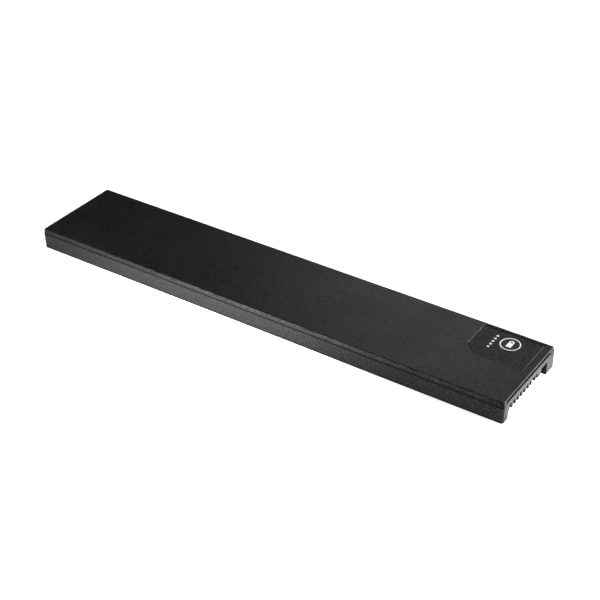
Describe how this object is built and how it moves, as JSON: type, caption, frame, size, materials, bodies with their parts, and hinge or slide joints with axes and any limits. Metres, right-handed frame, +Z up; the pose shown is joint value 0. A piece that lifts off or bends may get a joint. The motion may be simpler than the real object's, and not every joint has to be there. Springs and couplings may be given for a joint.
{
  "type": "slide-in battery unit",
  "caption": "Long flat two-shell lithium-ion battery unit with a recessed control panel, a check button, charge lights and a blade connector between two end legs.",
  "frame": {"origin": "centre of the underside's bounding rectangle", "axes": "+X along the casing towards the connector end, +Z up to the cover with the button, +Y towards the long side that has the control panel"},
  "size_m": [0.513, 0.097, 0.0215],
  "materials": {
    "cover_plastic": "fine spark-eroded texture, black",
    "case_plastic": "fine spark-eroded texture, black",
    "panel_film": "coarser matt film, black",
    "button_plastic": "matt, black",
    "white_plastic": "satin, white",
    "switch_plastic": "matt, dark",
    "light_guide": "clear, slightly milky",
    "led_body": "resin lens",
    "circuit_board": "green solder mask",
    "screw_steel": "zinc plated",
    "chip_black": "moulded epoxy",
    "shunt_metal": "rolled alloy",
    "fuse_ceramic": "glazed ceramic look",
    "capacitor_can": "drawn can",
    "thermistor_bead": "dipped epoxy bead",
    "connector_plastic": "black moulded block",
    "contact_metal": "gold-flashed spring contacts",
    "insulation_white": "insulating washer",
    "insulation_green": "insulating sheet",
    "foam": "closed-cell foam",
    "nickel": "rolled nickel strip",
    "wire_red": "silicone insulation",
    "wire_black": "silicone insulation",
    "cell_can": "shrink-sleeved steel can"
  },
  "bodies": {
    "unit": {"top_cover": "cover_plastic", "bottom_case": "case_plastic", "end_frame": "case_plastic", "panel_film": "panel_film", "button_ring": "white_plastic", "switch_body": "switch_plastic", "light_guide": "light_guide", "status_leds": "led_body", "control_board": "circuit_board", "board_screws": "screw_steel", "power_transistors": "chip_black", "monitor_chip": "chip_black", "controller_chip": "chip_black", "shunt_resistor": "shunt_metal", "board_fuse": "fuse_ceramic", "bulk_capacitors": "capacitor_can", "thermistor": "thermistor_bead", "connector_housing": "connector_plastic", "connector_contacts": "contact_metal", "cell_washers": "insulation_white", "insulation_strips": "insulation_green", "end_pad": "foam", "series_links": "nickel", "link_insulators": "insulation_green", "negative_strip": "nickel", "positive_strip": "nickel", "sense_leads": "wire_red", "negative_lead": "wire_black", "cell_row_1": "cell_can", "cell_row_2": "cell_can", "cell_row_3": "cell_can", "cell_row_4": "cell_can", "cell_row_5": "cell_can", "cell_row_6": "cell_can", "cell_row_7": "cell_can"},
    "button": {"button_cap": "button_plastic", "button_icon": "white_plastic", "switch_plunger": "switch_plastic"}
  },
  "joints": [
    {"name": "button_press", "type": "slide", "parent": "unit", "child": "button", "axis": [0, 0, 1], "range_m": [-0.0004, 0], "stiffness_N_per_m": 4000}
  ]
}
